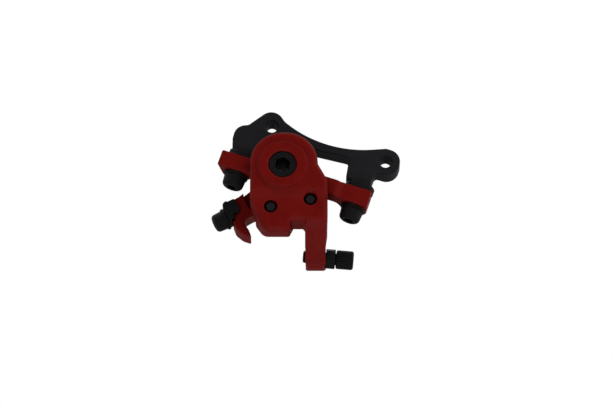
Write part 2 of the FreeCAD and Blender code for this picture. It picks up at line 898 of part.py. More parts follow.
def outer_half():
    """The casting with the ears, the actuator housing and the cable stop."""
    notch = -S["notch_level"]
    step = S["step_reach"]
    flange = prism(
        "outer_flange",
        "caliper",
        "XZ_Plane",
        SPLIT_Y,
        FLANGE_Y,
        [
            [
                (-12.7, -3),
                (-11.4, -19.0, 2),
                (-8.7, -S["flange_level"], 3.5),
                (step, -S["flange_level"], 1.5),
                (step + 1.4, -S["throat_level"], 0.8),
                (S["wing_reach"], -S["throat_level"], 1),
                (S["wing_reach"], -S["leg_root_top"] + 2, 2),
                (12.6, -3),
            ]
        ],
    )
    housing = turned(
        "outer_housing",
        "caliper",
        "XY_Plane",
        "V_Axis",
        [
            (0, SPLIT_Y),
            (S["outer_radius"], SPLIT_Y),
            (S["outer_radius"], SEAT_Y, 0.6),
            (S["neck_radius"], SEAT_Y, 0.5),
            (S["neck_radius"], NECK_Y, 0.6),
            (0, NECK_Y),
        ],
    )
    left, right = LEFT_BOLT_X, RIGHT_BOLT_X
    back = BOLT_Y + S["ear_back"]
    left_top = -S["left_post_drop"] - S["washer_stack"]
    right_top = -S["right_post_drop"] - S["washer_stack"]
    left_height, right_height = S["left_ear_height"], S["right_ear_height"]
    left_reach, right_reach = S["left_ear_reach"], S["right_ear_reach"]
    left_ear = prism(
        "left_ear",
        "bracket",
        "XY_Plane",
        left_top - left_height,
        left_top,
        [
            [
                (-16, SPLIT_Y),
                (-16, -6.2),
                (left + 7.4, -6.2, 2.5),
                (left + 3.4, back, 3.5),
                (left - 5.6, back, 4.5),
                (left - left_reach, SPLIT_Y, 0.8),
            ]
        ],
    )
    right_ear = prism(
        "right_ear",
        "bracket",
        "XY_Plane",
        right_top - right_height,
        right_top,
        [
            [
                (-6, SPLIT_Y),
                (right + right_reach, SPLIT_Y, 0.8),
                (right + 5.7, back, 4.2),
                (right - 4.0, back, 4.2),
                (right - 7.6, -4.0, 2.5),
                (-6, -4.0),
            ]
        ],
    )
    for ear in (left_ear, right_ear):
        soften(
            ear,
            ear.Name + "_rounds",
            0.6,
            lambda spot, one, two: abs(abs(one.z) - abs(two.z)) > 0.9
            and abs(spot.x + S["pad_axis_x"].value) > S["crown_radius"].value,
        )
    root_face = SPLIT_Y - S["ear_root_rise"]
    root_blank = prism(
        "ear_root_blank",
        "bracket",
        "XY_Plane",
        right_top - right_height,
        right_top - S["ear_root_rise"] * 0.35,
        [
            [
                (-6, SPLIT_Y + 1),
                (-6, root_face),
                (right - 8.8, root_face, 2),
                (right - 6.2, SPLIT_Y),
                (right - 6.2, SPLIT_Y + 1),
            ]
        ],
    )
    gap = S["half_gap"]
    right_side = S["crown_shift"] + S["crown_radius"] + S["flank_flare"]
    wing = -S["wing_top"]
    inner_room = prism(
        "inner_room_tool",
        "caliper",
        "XZ_Plane",
        root_face - 1,
        SPLIT_Y,
        [
            [
                (S["wing_reach"] + gap, notch),
                (S["wing_reach"] + gap, wing + gap * 0.26, S["front_round"] + 0.4),
                (right_side + gap, S["flank_start"] + gap * 0.26, 3),
                (right_side + gap, 20),
                (-20, 20),
                (-20, notch),
            ]
        ],
    )
    ear_root = cut("ear_root", root_blank, [inner_room])
    drop, root = S["leg_drop"], S["wing_reach"]
    top = -S["leg_root_top"]
    axis_y, deep = S["leg_axis_depth"], S["leg_half_depth"]
    gusset = prism(
        "leg_gusset",
        "caliper",
        "XZ_Plane",
        FLANGE_Y - 2,
        axis_y + deep,
        [
            [
                (LEG_LEFT, notch + 0.2),
                (LEG_RIGHT, notch + 0.2),
                (root, notch + 5),
                (root, top, 2.5),
                (LEG_LEFT + 1.5, top, 1.5),
                (LEG_LEFT, top - 3),
            ]
        ],
    )
    leg = prism(
        "leg_bar",
        "caliper",
        "XZ_Plane",
        axis_y - deep,
        axis_y + deep,
        [
            [
                (LEG_LEFT, notch + 3),
                (LEG_LEFT + 0.3, -drop + 1.2),
                (LEG_LEFT + 1.3, -drop),
                (LEG_RIGHT - 1.2, -drop),
                (LEG_RIGHT, -drop + 1.2),
                (LEG_RIGHT, notch + 3),
            ]
        ],
    )
    web_top = -S["throat_level"] + 0.9
    web = prism(
        "leg_web",
        "caliper",
        "YZ_Plane",
        LEG_LEFT + S["toe_side"],
        LEG_RIGHT - S["toe_side"],
        [
            [
                (SPLIT_Y, web_top),
                (LEG_FRONT_Y + 1.5, web_top),
                (LEG_FRONT_Y + 1.5, WEB_FOOT),
                (LEG_FRONT_Y, WEB_FOOT, 1),
                (SPLIT_Y, TOE_BACK),
            ]
        ],
    )
    throat = -S["throat_level"]
    fillet = prism(
        "leg_fillet",
        "caliper",
        "XZ_Plane",
        FLANGE_Y - 3,
        FLANGE_Y,
        [
            [
                (LEG_LEFT - 2.6, throat),
                (LEG_LEFT + 0.1, throat, 2.3),
                (LEG_LEFT + 0.1, throat - 2.6),
                (LEG_LEFT + 1, throat - 2.6),
                (LEG_LEFT + 1, throat + 1),
                (LEG_LEFT - 2.6, throat + 1),
            ]
        ],
    )
    round_by = S["leg_round"]
    leg_side = prism(
        "leg_side",
        "caliper",
        "YZ_Plane",
        LEG_LEFT - 1,
        LEG_RIGHT + 1,
        [
            [
                (axis_y - deep, notch + 4),
                (axis_y - deep, -drop, round_by),
                (axis_y + deep, -drop, round_by),
                (axis_y + deep, notch + 4),
            ]
        ],
    )
    leg = common("leg_bar_round", leg, leg_side)
    anchor = spring_stop("spring_anchor", SEAT_Y - 1, SEAT_Y + 2.0, 1)
    whole = fuse("outer_whole", [flange, housing, left_ear, right_ear, ear_root, gusset, web, fillet, leg, anchor])

    gap = S["running_gap"]
    tools = [
        round_bar(
            "actuator_bore",
            "caliper",
            S["piston_radius"] + 2 * gap,
            SPLIT_Y - 1,
            END_WALL_Y,
        ),
        round_bar("shaft_bore", "caliper", S["shaft_radius"] + gap, SPLIT_Y, NECK_Y + 1),
        block(
            "outer_slot_tool",
            "caliper",
            (-S["crown_radius"] + S["crown_shift"], SPLIT_Y - 1, -S["slot_level"]),
            (root + 1, SLOT_BACK_Y, 30),
        ),
    ]
    tools += pad_pocket("outer_pocket", SPLIT_Y - 1, PISTON_Y)
    half = S["slot_width"] / 2
    length = S["slot_length"] / 2
    ears = (("left", left, left_top), ("right", right, right_top))
    for side, middle, high in ears:
        tools.append(
            prism(
                f"{side}_ear_slot",
                "bracket",
                "XY_Plane",
                high - S[f"{side}_ear_height"] - 1,
                high + 1,
                [
                    [
                        (-half, -length, half - 0.01),
                        (half, -length, half - 0.01),
                        (half, length, half - 0.01),
                        (-half, length, half - 0.01),
                    ]
                ],
                (middle, BOLT_Y, 0),
            )
        )
    head_room = S["screw_head_radius"] + 0.25
    head_floor = FLANGE_Y - S["screw_head_height"]
    for name, across, up in screw_spots():
        tools.append(
            turned(
                f"{name}_screw_way",
                "caliper",
                "XY_Plane",
                "V_Axis",
                [
                    (0, SPLIT_Y - 1),
                    (S["screw_end_radius"] + 0.3, SPLIT_Y - 1),
                    (S["screw_end_radius"] + 0.3, head_floor),
                    (head_room, head_floor),
                    (head_room, axis_y + deep + 1),
                    (0, axis_y + deep + 1),
                ],
                (across, 0, up),
            )
        )
    tools.append(
        round_bar(
            "barrel_bore",
            "barrel",
            S["barrel_thread_radius"] + S["thread_gap"],
            -9,
            9,
            "X",
        )
    )
    seat = S["leg_width"] / 2
    tools.append(
        round_bar("nut_seat_tool", "barrel", S["nut_radius"] + 0.9, seat, seat + 2, "X")
    )
    NODES["outer_body"] = cut("outer_body", whole, tools)


def spring_stop(name, start, end, side):
    """A lug that one leg of the return spring bears on; side 1 is before the coil."""
    radius = S["spring_radius"]
    low, high = (-1.7, 0.6) if side > 0 else (-0.6, 1.7)
    return block(
        name,
        "arm",
        (radius - 1.3, start, low),
        (radius + 0.9, end, high),
    )


def ring(name, frame, inner, outer, start, end):
    """A flat ring about the frame's Y axis."""
    corners = [(inner, start), (outer, start), (outer, end), (inner, end)]
    return turned(name, frame, "XY_Plane", "V_Axis", corners)


def pad_pair(name, plate_start, lining_start):
    """A brake pad's plate and its lining."""
    half = S["pad_tab_width"] / 2
    disc = round_bar(
        name + "_disc", "caliper", S["pad_radius"], plate_start, plate_start + S["plate_thick"]
    )
    tab = block(
        name + "_tab",
        "caliper",
        (-half, plate_start, S["pad_radius"] - 3),
        (half, plate_start + S["plate_thick"], S["pad_tab_height"]),
    )
    NODES[name + "_plate"] = fuse(name + "_plate", [disc, tab])
    NODES[name + "_lining"] = round_bar(
        name + "_lining",
        "caliper",
        S["pad_radius"] - S["lining_inset"],
        lining_start,
        lining_start + S["lining_thick"],
    )


def working_parts():
    """Pads, adjuster, piston, balls, shaft and seals."""
    gap = S["running_gap"]
    pad_pair("inner_pad", ADJUSTER_FOOT_Y, INNER_PLATE_Y)
    pad_pair("outer_pad", OUTER_PLATE_Y, OUTER_LINING_Y)

    radius, bevel = S["adjuster_radius"], S["adjuster_chamfer"]
    wire = S["ring_wire"]
    groove = ADJUSTER_FOOT_Y - 1.9
    floor = radius - wire - gap
    blank = turned(
        "adjuster_blank",
        "caliper",
        "XY_Plane",
        "V_Axis",
        [
            (0, ADJUSTER_FACE_Y),
            (radius - bevel, ADJUSTER_FACE_Y),
            (radius, ADJUSTER_FACE_Y + bevel),
            (radius, groove - wire * 0.6),
            (floor, groove - wire * 0.6),
            (floor, groove + wire * 0.6),
            (radius, groove + wire * 0.6),
            (radius, ADJUSTER_FOOT_Y - 0.4),
            (radius - 0.4, ADJUSTER_FOOT_Y),
            (0, ADJUSTER_FOOT_Y),
        ],
    )
    socket = prism(
        "adjuster_socket",
        "caliper",
        "XZ_Plane",
        ADJUSTER_FACE_Y - 1,
        ADJUSTER_FACE_Y + S["adjuster_socket_depth"],
        [six_sides(S["adjuster_socket"], 0, 0, SIZES["caliper_turn"])],
    )
    NODES["pad_adjuster"] = cut("pad_adjuster", blank, [socket])

    seal = new_body("adjuster_ring", "caliper")
    sketch = new_sketch(seal, "ring_section", "XY_Plane")
    draw_circle(sketch, radius - wire / 2 - gap / 2, groove, wire / 2)
    round_ring = seal.newObject("PartDesign::Revolution", "ring_turn")
    round_ring.Profile = sketch
    round_ring.ReferenceAxis = (sketch, ["V_Axis"])
    NODES["adjuster_ring"] = seal

    circle, ball = BALL_CIRCLE, S["ball_radius"]
    ball_y = PISTON_BACK_Y + S["ramp_gap"] / 2
    track = new_body("ball_track", "caliper")
    sketch = new_sketch(track, "track_section", "XY_Plane")
    draw_circle(sketch, circle, ball_y, ball + gap)
    groove_turn = track.newObject("PartDesign::Revolution", "track_turn")
    groove_turn.Profile = sketch
    groove_turn.ReferenceAxis = (sketch, ["V_Axis"])
    piston = turned(
        "piston_blank",
        "caliper",
        "XY_Plane",
        "V_Axis",
        [
            (0, PISTON_Y),
            (S["piston_radius"] - 0.4, PISTON_Y),
            (S["piston_radius"], PISTON_Y + 0.4),
            (S["piston_radius"], PISTON_BACK_Y),
            (0, PISTON_BACK_Y),
        ],
    )
    NODES["piston"] = cut("piston", piston, [track])

    count = int(S["ball_count"].value)
    balls = []
    holes = []
    for index in range(count):
        angle = math.radians(90 + 360 * index / count)
        spot = (circle * math.cos(angle), ball_y, circle * math.sin(angle))
        ball_item = doc.addObject("Part::Sphere", f"ball_{index + 1}")
        ball_item.setExpression("Radius", ball.text)
        place(ball_item, "caliper", spot)
        balls.append(ball_item)
        holes.append((spot[0], spot[2], ball + gap))
    NODES["ramp_balls"] = group("ramp_balls", balls)
    cage_start = ball_y - S["cage_thick"] / 2
    NODES["ball_cage"] = prism(
        "ball_cage",
        "caliper",
        "XZ_Plane",
        cage_start,
        cage_start + S["cage_thick"],
        [(0, 0, circle + ball + 0.5), (0, 0, circle - ball - 0.5)] + holes,
    )

    shaft = S["shaft_radius"]
    shaft_end = ARM_BACK_Y - S["shaft_end_gap"]
    shaft_blank = turned(
        "shaft_blank",
        "caliper",
        "XY_Plane",
        "V_Axis",
        [
            (0, RAMP_Y),
            (S["piston_radius"] - gap, RAMP_Y),
            (S["piston_radius"] - gap, RAMP_BACK_Y),
            (shaft, RAMP_BACK_Y),
            (shaft, shaft_end - 0.4),
            (shaft - 0.4, shaft_end),
            (0, shaft_end),
        ],
    )
    tap = S["shaft_tap_radius"]
    tap_tool = round_bar(
        "shaft_tap", "caliper", tap + S["thread_gap"], ARM_Y - 3.5, shaft_end + 1
    )
    NODES["ramp_shaft"] = cut("ramp_shaft", shaft_blank, [track, tap_tool])
    NODES["thrust_washer"] = ring(
        "thrust_washer",
        "caliper",
        shaft + 0.3,
        S["piston_radius"] - 0.3,
        RAMP_BACK_Y,
        END_WALL_Y,
    )
    NODES["dust_seal"] = ring(
        "dust_seal", "caliper", shaft + 0.2, SEAL_RADIUS, SEAL_Y, SEAL_Y + S["seal_thick"]
    )


def body_screws():
    """The two screws that join the halves, put in from the arm side."""
    screws = []
    head, tall = S["screw_head_radius"], S["screw_head_height"]
    shank = S["screw_end_radius"]
    floor = FLANGE_Y - tall
    tip = FRONT_Y + S["screw_recess"]
    for name, across, up in screw_spots():
        blank = turned(
            f"{name}_screw_blank",
            "caliper",
            "XY_Plane",
            "V_Axis",
            [
                (0, tip),
                (shank - 0.5, tip),
                (shank, tip + 0.5),
                (shank, floor),
                (head, floor),
                (head, FLANGE_Y - 0.6),
                (head - 0.6, FLANGE_Y),
                (0, FLANGE_Y),
            ],
            (across, 0, up),
        )
        socket = prism(
            f"{name}_screw_socket",
            "caliper",
            "XZ_Plane",
            FLANGE_Y - 2.4,
            FLANGE_Y + 1,
            [six_sides(4)],
            (across, 0, up),
        )
        screws.append(cut(f"{name}_screw", blank, [socket]))
    NODES["body_screws"] = group("body_screws", screws)


def arm_parts():
    """The lever arm and everything that turns with it outside the housing."""
    reach = S["arm_reach"]
    upper, lower = S["arm_upper"], S["arm_lower"]
    tip, drop = S["horn_tip_reach"], S["horn_tip_drop"]
    hub = S["hub_radius"]
    outline = [
        (-hub + 0.01, -hub, hub - 0.8),
        (4.5, -hub + 0.4, 5),
        (reach - 6, -upper - 0.9, 4),
        (reach, -upper - 0.6, 0.8),
        (reach, S["clamp_plate_lower"] + 0.2),
        (reach + 1.3, S["clamp_plate_lower"] + 0.6, 1),
        (tip + 3.4, drop - 3.4, 3),
        (tip + 1.9, drop + 0.2, 4),
        (tip - 0.8, drop + 3.0, 0.5),
        (tip - 1.3, drop - 0.6, 4),
        (tip - 0.7, lower + 1.8, 2.2),
        (tip - 6, lower + 1.4, 3),
        (3.5, hub - 0.6, 5),
        (-hub + 0.01, hub, hub - 0.8),
    ]
    blank = prism("arm_blank", "arm", "XZ_Plane", BLOCK_Y, ARM_BACK_Y, [outline])
    soften(
        blank,
        "arm_rounds",
        0.7,
        lambda spot, one, two: abs(abs(one.y) - abs(two.y)) > 0.9,
    )
    stop = spring_stop("arm_stop", ARM_Y - 1.9, ARM_Y + 1, -1)
    cup = round_bar("arm_cup", "arm", S["cup_radius"], BLOCK_Y - 1, ARM_Y)
    shaft_hole = round_bar("arm_hole", "arm", S["shaft_radius"], ARM_Y - 1, ARM_BACK_Y + 1)
    clamp_hole = round_bar(
        "clamp_hole",
        "arm",
        S["clamp_shank_radius"] + S["thread_gap"],
        S["cup_radius"] - 1,
        reach + 1,
        "X",
        (0, S["leg_axis_depth"], S["clamp_axis_drop"]),
    )
    plate = cut("arm_plate", blank, [cup, shaft_hole, clamp_hole])
    NODES["brake_arm"] = fuse("brake_arm", [plate, stop])

    washer_end = ARM_BACK_Y + S["arm_washer_thick"]
    tap = S["shaft_tap_radius"]
    NODES["arm_washer"] = ring(
        "arm_washer", "arm", tap + 0.2, S["arm_washer_radius"], ARM_BACK_Y, washer_end
    )
    head = prism(
        "arm_bolt_head",
        "arm",
        "XZ_Plane",
        washer_end,
        washer_end + S["arm_bolt_head"],
        [six_sides(S["arm_bolt_flats"], 0, 0, 20)],
    )
    shank = round_bar("arm_bolt_shank", "arm", tap, ARM_Y - 3, washer_end + 1)
    rim = S["arm_bolt_flats"] / 2
    crown = turned(
        "arm_bolt_crown",
        "arm",
        "XY_Plane",
        "V_Axis",
        [
            (0, ARM_Y - 4),
            (rim + 2, ARM_Y - 4),
            (rim + 2, washer_end + S["arm_bolt_head"] - 1.1),
            (rim - 0.1, washer_end + S["arm_bolt_head"]),
            (0, washer_end + S["arm_bolt_head"]),
        ],
    )
    solid = fuse("arm_bolt_solid", [head, shank])
    NODES["arm_bolt"] = common("arm_bolt", solid, crown)

    plate_end = reach + S["clamp_plate_thick"]
    above, below = S["clamp_plate_upper"], S["clamp_plate_lower"]
    wall = prism(
        "clamp_wall",
        "arm",
        "XZ_Plane",
        BLOCK_Y - S["clamp_tab_thick"],
        ARM_BACK_Y - 0.8,
        [[(reach, -above, 0.4), (plate_end, -above, 2.0), (plate_end, below, 0.9), (reach, below)]],
    )
    tab = prism(
        "clamp_tab",
        "arm",
        "XZ_Plane",
        BLOCK_Y - S["clamp_tab_thick"],
        BLOCK_Y,
        [
            [
                (reach - S["clamp_tab_reach"], 0.5 - above, 0.8),
                (reach + 1, 0.5 - above),
                (reach + 1, 2.0),
                (reach - S["clamp_tab_reach"], 2.0, 0.8),
            ]
        ],
    )
    axis_shift = (0, S["leg_axis_depth"], S["clamp_axis_drop"])
    hole = round_bar(
        "clamp_plate_hole",
        "arm",
        S["clamp_shank_radius"] + 0.15,
        reach - 1,
        plate_end + 1,
        "X",
        axis_shift,
    )
    NODES["clamp_plate"] = cut(
        "clamp_plate", fuse("clamp_plate_whole", [wall, tab]), [hole]
    )
    washer_face = plate_end + S["clamp_washer_thick"]
    NODES["clamp_washer"] = turned(
        "clamp_washer",
        "arm",
        "XY_Plane",
        "H_Axis",
        [
            (plate_end, S["clamp_shank_radius"] + 0.15),
            (plate_end, S["clamp_washer_radius"]),
            (washer_face - 0.3, S["clamp_washer_radius"]),
            (washer_face, S["clamp_washer_radius"] - 0.3),
            (washer_face, S["clamp_shank_radius"] + 0.15),
        ],
        axis_shift,
    )
    head_end = washer_face + S["clamp_head_height"]
    shank = S["clamp_shank_radius"]
    blank = turned(
        "clamp_bolt_blank",
        "arm",
        "XY_Plane",
        "H_Axis",
        [
            (S["cup_radius"] + 0.6, 0),
            (S["cup_radius"] + 0.6, shank - 0.4),
            (S["cup_radius"] + 1.0, shank),
            (washer_face, shank),
            (washer_face, S["clamp_head_radius"]),
            (head_end, S["clamp_head_radius"] - 0.3, 1.5),
            (head_end, 0),
        ],
        axis_shift,
    )
    socket = prism(
        "clamp_bolt_socket",
        "arm",
        "YZ_Plane",
        head_end - 2.6,
        head_end + 1,
        [six_sides(4)],
        axis_shift,
    )
    NODES["clamp_bolt"] = cut("clamp_bolt", blank, [socket])


def barrel_parts():
    """The barrel adjuster in the cable stop and its lock nut."""
    nut_start = S["leg_width"] / 2 + 0.05
    nut_end = nut_start + S["nut_length"]
    thread = S["barrel_thread_radius"]
    nut = prism(
        "nut_blank",
        "barrel",
        "YZ_Plane",
        nut_start,
        nut_end,
        [six_sides(S["nut_radius"] * 2, 0, 0, 30)],
    )
    nut_hole = round_bar("nut_hole", "barrel", thread + S["thread_gap"], nut_start - 1, nut_end + 1, "X")
    NODES["lock_nut"] = cut("lock_nut", nut, [nut_hole])

    start = nut_end + S["nut_gap"]
    end = start + S["knob_length"]
    rim = S["knob_radius"]
    tip = -S["leg_width"] / 2 - S["barrel_end_out"]
    knob = turned(
        "knob_blank",
        "barrel",
        "XY_Plane",
        "H_Axis",
        [
            (tip, 0),
            (tip, thread - 0.5),
            (tip + 0.5, thread),
            (start, thread),
            (start, rim - 0.5),
            (start + 0.5, rim),
            (end - 0.6, rim),
            (end, rim - 0.6),
            (end, 0),
        ],
    )
    teeth = int(S["knob_teeth"].value)
    depth = S["tooth_depth"]
    groove = new_sketch(knob, "tooth_outline", "YZ_Plane", start - 1)
    draw_outline(
        groove,
        [
            (rim - depth, 0),
            (rim + 0.1, -0.36),
            (rim + 1, -0.36),
            (rim + 1, 0.36),
            (rim + 0.1, 0.36),
        ],
    )
    tooth = knob.newObject("PartDesign::Pocket", "tooth")
    tooth.Profile = groove
    tooth.Reversed = True
    tooth.setExpression("Length", (S["knob_length"] + 2).text)
    doc.recompute()
    before = knob.Shape.Volume
    pattern = knob.newObject("PartDesign::PolarPattern", "teeth")
    pattern.Originals = [tooth]
    axis = [item for item in knob.Origin.OriginFeatures if item.Role == "X_Axis"][0]
    pattern.Axis = (axis, [""])
    pattern.Angle = 360
    pattern.Occurrences = teeth
    pattern.setExpression("Occurrences", "Sizes.knob_teeth")
    knob.Tip = pattern
    doc.recompute()
    print("knob teeth", round(before, 2), round(knob.Shape.Volume, 2))
    bore = turned(
        "casing_tool",
        "barrel",
        "XY_Plane",
        "H_Axis",
        [
            (tip - 1, 0),
            (tip - 1, S["barrel_bore_radius"]),
            (end - S["casing_bore_length"], S["barrel_bore_radius"]),
            (end - S["casing_bore_length"], S["casing_bore_radius"]),
            (end + 1, S["casing_bore_radius"]),
            (end + 1, 0),
        ],
    )
    NODES["barrel_adjuster"] = cut("barrel_adjuster", knob, [bore])


def spring_point(turn):
    """A point of the coil's middle line after some turns, in the arm's frame."""
    radius = S["spring_radius"].value
    angle = math.radians(-17) - 2 * math.pi * turn
    rise = S["spring_pitch"].value * turn
    low = SEAT_Y.value + S["spring_seat_gap"].value + S["spring_wire"].value / 2
    return FreeCAD.Vector(radius * math.cos(angle), low + rise, radius * math.sin(angle))


def spring_heading(turn):
    """The direction of the coil's middle line after some turns."""
    radius = S["spring_radius"].value
    angle = math.radians(-17) - 2 * math.pi * turn
    around = 2 * math.pi * radius
    heading = FreeCAD.Vector(
        around * math.sin(angle), S["spring_pitch"].value, -around * math.cos(angle)
    )
    return heading.normalize()


def two_arcs(start, start_way, end, end_way):
    """Two arcs that meet smoothly between two points with set directions."""
    chord = end - start
    both = start_way + end_way
    square = chord.dot(chord)
    along = chord.dot(both)
    spread = 2 * (1 - start_way.dot(end_way))
    reach = (-along + math.sqrt(along * along + spread * square)) / spread
    first = start + start_way * reach
    last = end - end_way * reach
    joint = (first + last) * 0.5
    edges = []
    for one, corner, two in ((start, first, joint), (joint, last, end)):
        middle = (one + two) * 0.5
        towards = corner - middle
        half = (two - one).Length / 2
        tall = towards.Length
        slant = math.hypot(half, tall)
        radius = half * slant / tall
        arch = radius - math.sqrt(radius * radius - half * half)
        edges.append(Part.Arc(one, middle + towards.normalize() * arch, two).toShape())
    return edges


def return_spring():
    """The torsion spring, one unbroken tube with straight ends."""
    wire = S["spring_wire"].value
    turns = S["spring_turns"].value - 0.0945
    steps = 8
    edges = []
    straight = wire * 1.2
    start_way = spring_heading(0)
    end_way = spring_heading(turns)
    first = spring_point(0) - start_way * straight
    edges.append(Part.makeLine(first, spring_point(0)))
    for index in range(steps):
        low, high = turns * index / steps, turns * (index + 1) / steps
        edges += two_arcs(
            spring_point(low), spring_heading(low), spring_point(high), spring_heading(high)
        )
    last = spring_point(turns) + end_way * straight
    edges.append(Part.makeLine(spring_point(turns), last))
    path = Part.Wire(edges)
    section = Part.Wire([Part.makeCircle(wire / 2, first, start_way)])
    pipe = Part.BRepOffsetAPI.MakePipeShell(path)
    pipe.add(section)
    pipe.build()
    pipe.makeSolid()
    coil = doc.addObject("Part::Feature", "return_spring")
    coil.Shape = pipe.shape()
    place(coil, "arm")
    NODES["return_spring"] = coil
    spots = [spring_point(turns * index / 240) for index in range(241)]
    reach = int(0.3 / turns * 240)
    least = min(
        (spots[one] - spots[two]).Length
        for one in range(241)
        for two in range(one + reach, 241)
    )
    print("spring gap to itself", round(least - wire, 3), "mm")


def finish():
    """Checks every sub-part and writes it as a STEP file."""
    os.makedirs("parts", exist_ok=True)
    doc.recompute()
    bad = [item.Name for item in doc.Objects if {"Invalid", "Error"} & set(item.State)]
    if bad:
        raise RuntimeError(f"not up to date: {bad}")
    for name, item in NODES.items():
        shape = item.Shape
        if shape.isNull() or not shape.isValid() or not shape.Solids:
            raise RuntimeError(f"bad shape: {name}")
        item.Label = name
        box = shape.BoundBox
        print(
            f"{name}: {len(shape.Solids)} solid, {shape.Volume:.1f} mm3,",
            f"x {box.XMin:.1f} {box.XMax:.1f} y {box.YMin:.1f} {box.YMax:.1f}",
            f"z {box.ZMin:.1f} {box.ZMax:.1f}",
        )
        shape.exportStep(f"parts/{name}.step")


bracket_pieces()
inner_half()
outer_half()
working_parts()
body_screws()
arm_parts()
barrel_parts()
return_spring()
finish()
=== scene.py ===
import json
import math

import bmesh
import bpy
from mathutils import Matrix, Vector


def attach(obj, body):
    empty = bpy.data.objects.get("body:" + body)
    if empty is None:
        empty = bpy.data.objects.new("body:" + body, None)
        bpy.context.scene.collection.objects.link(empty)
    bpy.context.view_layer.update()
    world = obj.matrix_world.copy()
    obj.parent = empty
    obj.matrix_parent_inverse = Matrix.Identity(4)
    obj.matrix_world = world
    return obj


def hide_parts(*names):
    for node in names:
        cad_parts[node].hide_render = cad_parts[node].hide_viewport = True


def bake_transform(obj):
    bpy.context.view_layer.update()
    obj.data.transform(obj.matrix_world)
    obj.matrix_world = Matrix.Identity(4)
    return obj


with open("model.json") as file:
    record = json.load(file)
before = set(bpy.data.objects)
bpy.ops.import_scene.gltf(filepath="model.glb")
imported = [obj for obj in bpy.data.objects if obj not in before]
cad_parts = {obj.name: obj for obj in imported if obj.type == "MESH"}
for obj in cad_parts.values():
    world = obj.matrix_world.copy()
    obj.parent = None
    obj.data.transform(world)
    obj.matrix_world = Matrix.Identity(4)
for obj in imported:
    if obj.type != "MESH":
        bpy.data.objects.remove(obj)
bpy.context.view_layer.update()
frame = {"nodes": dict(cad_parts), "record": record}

MM = 0.001
SCENE = bpy.context.scene

# The photograph's frame. The camera looks up from below and is rolled, so the bracket leans.
IMAGE_WIDTH = 612
IMAGE_HEIGHT = 408
PIXELS_PER_MM = 2.35
LOOK_UP = math.radians(22)
ROLL = math.radians(18.5)
BRACKET_FRONT = Vector((0, -8.5, 0)) * MM
BRACKET_PIXEL = (328.6, 144.0)
CAMERA_DISTANCE = 1.5
SENSOR_WIDTH = 36
NEAREST_SEEN = 0.01
FARTHEST_SEEN = 20

# The floor's height, how far it reaches each way, and its finish.
FLOOR_LEVEL = -0.75
FLOOR_REACH = 6
FLOOR_TONE = 0.9
FLOOR_ROUGHNESS = 0.9

# How strongly the surroundings show in reflections, low down, high up and behind the camera,
# and how strongly they show to the camera itself.
TENT_LOW = 0.07
TENT_HIGH = 0.55
BEHIND_CAMERA = 0.08
WHITE_STRENGTH = 1.0

# Where those take hold, as how far a direction points towards the camera or upwards.
SIDE_ON, NEARLY_BEHIND = 0.0, 0.75
WELL_BELOW, NEARLY_ABOVE = -0.6, 0.9

# The numbers of a mix node's sockets, which share their names.
MIX_SHARE = 0
FIRST_VALUE = 2
SECOND_VALUE = 3
MIXED_VALUE = 0
FIRST_COLOUR = 6
SECOND_COLOUR = 7
MIXED_COLOUR = 2

# How far out a hollow is felt for, which sets both the open side of edges and the painted shade
# in hollows, and the rays that look for edges and hollows.
HOLLOW_REACH = 5 * MM
EDGE_RAYS = 6

# Where an edge starts to show and shows fully, as its rounded normal against its flat one.
EDGE_STARTS, EDGE_FULL = 0.995, 0.86

# How open a place is where edge rubbing and painted edge highlight start to reach it and reach it
# fully, and where the painted shade of a hollow starts and is full. Rubbed and highlit patches
# fade out over the last of these values each way.
RUB_AND_HIGHLIGHT_STARTS, RUB_AND_HIGHLIGHT_FULL = 0.55, 0.9
HOLLOW_SHADE_STARTS, HOLLOW_SHADE_FULL = 0.8, 0.3
RUB_AND_HIGHLIGHT_FADE = 0.12

# The part of the cloudy pattern that goes from dark to light.
CLOUD_STARTS, CLOUD_FULL = 0.3, 0.7

# How dark and light the clouds of a coating are, how much its roughness varies with them, and
# how deep its peel is.
COATING_DARK = 0.86
COATING_LIGHT = 1.1
COATING_VARIES = 0.05
PEEL_DEPTH = 0.08 * MM

# How dark the clouds of bare metal are, how much its roughness varies with them, their scale,
# the depth of its lathe marks, and how round and how rubbed its edges are.
METAL_DARK = 0.7
METAL_VARIES = 0.06
METAL_CLOUDS = 220.0
MARK_DEPTH = 0.04 * MM
METAL_EDGE = 0.15 * MM
METAL_COVER = 0.4

# How far from its middle a grain starts to show and shows fully, as a share of its cell, how
# deep grains are and how strongly they show.
GRAIN_STARTS, GRAIN_FULL = 0.25, 0.05
GRAIN_DEPTH = 0.1 * MM
GRAIN_STRENGTH = 0.3

# The axis of the pads and of their adjuster. The depth of the adjuster's rim is along it.
PAD_AXIS = Vector((-13.5, 0, -20.9)) * MM
ADJUSTER_RIM = -22.64 * MM

# The barrel adjuster's place and lean, and the ridge of its thread: where it starts, how far
# along it lies at which radius in mm, and how it is wound.
BARREL_PLACE = Vector((9.233, 7.0, -45.35)) * MM
BARREL_TURN = math.radians(13.5)
THREAD_START = -5.25 * MM
THREAD_PITCH = 1.0 * MM
THREAD_RIDGE = ((0.0, 2.42), (0.35, 2.60), (0.45, 2.60), (0.8, 2.42))
THREAD_TURNS = 14
STEPS_IN_A_TURN = 32

# The adjuster's rim as radii and depths in mm. Faces past RIM_OUTSIDE carry its notches.
RIM_PROFILE = ((5.14, 0.0), (5.14, -0.78), (5.62, -0.78), (5.86, -0.54), (5.86, 0.0))
RIM_OUTSIDE = 5.7 * MM
RIM_NOTCHES = 22
NOTCH_MARGIN = 0.10 * MM
NOTCH_DEPTH = 0.45 * MM

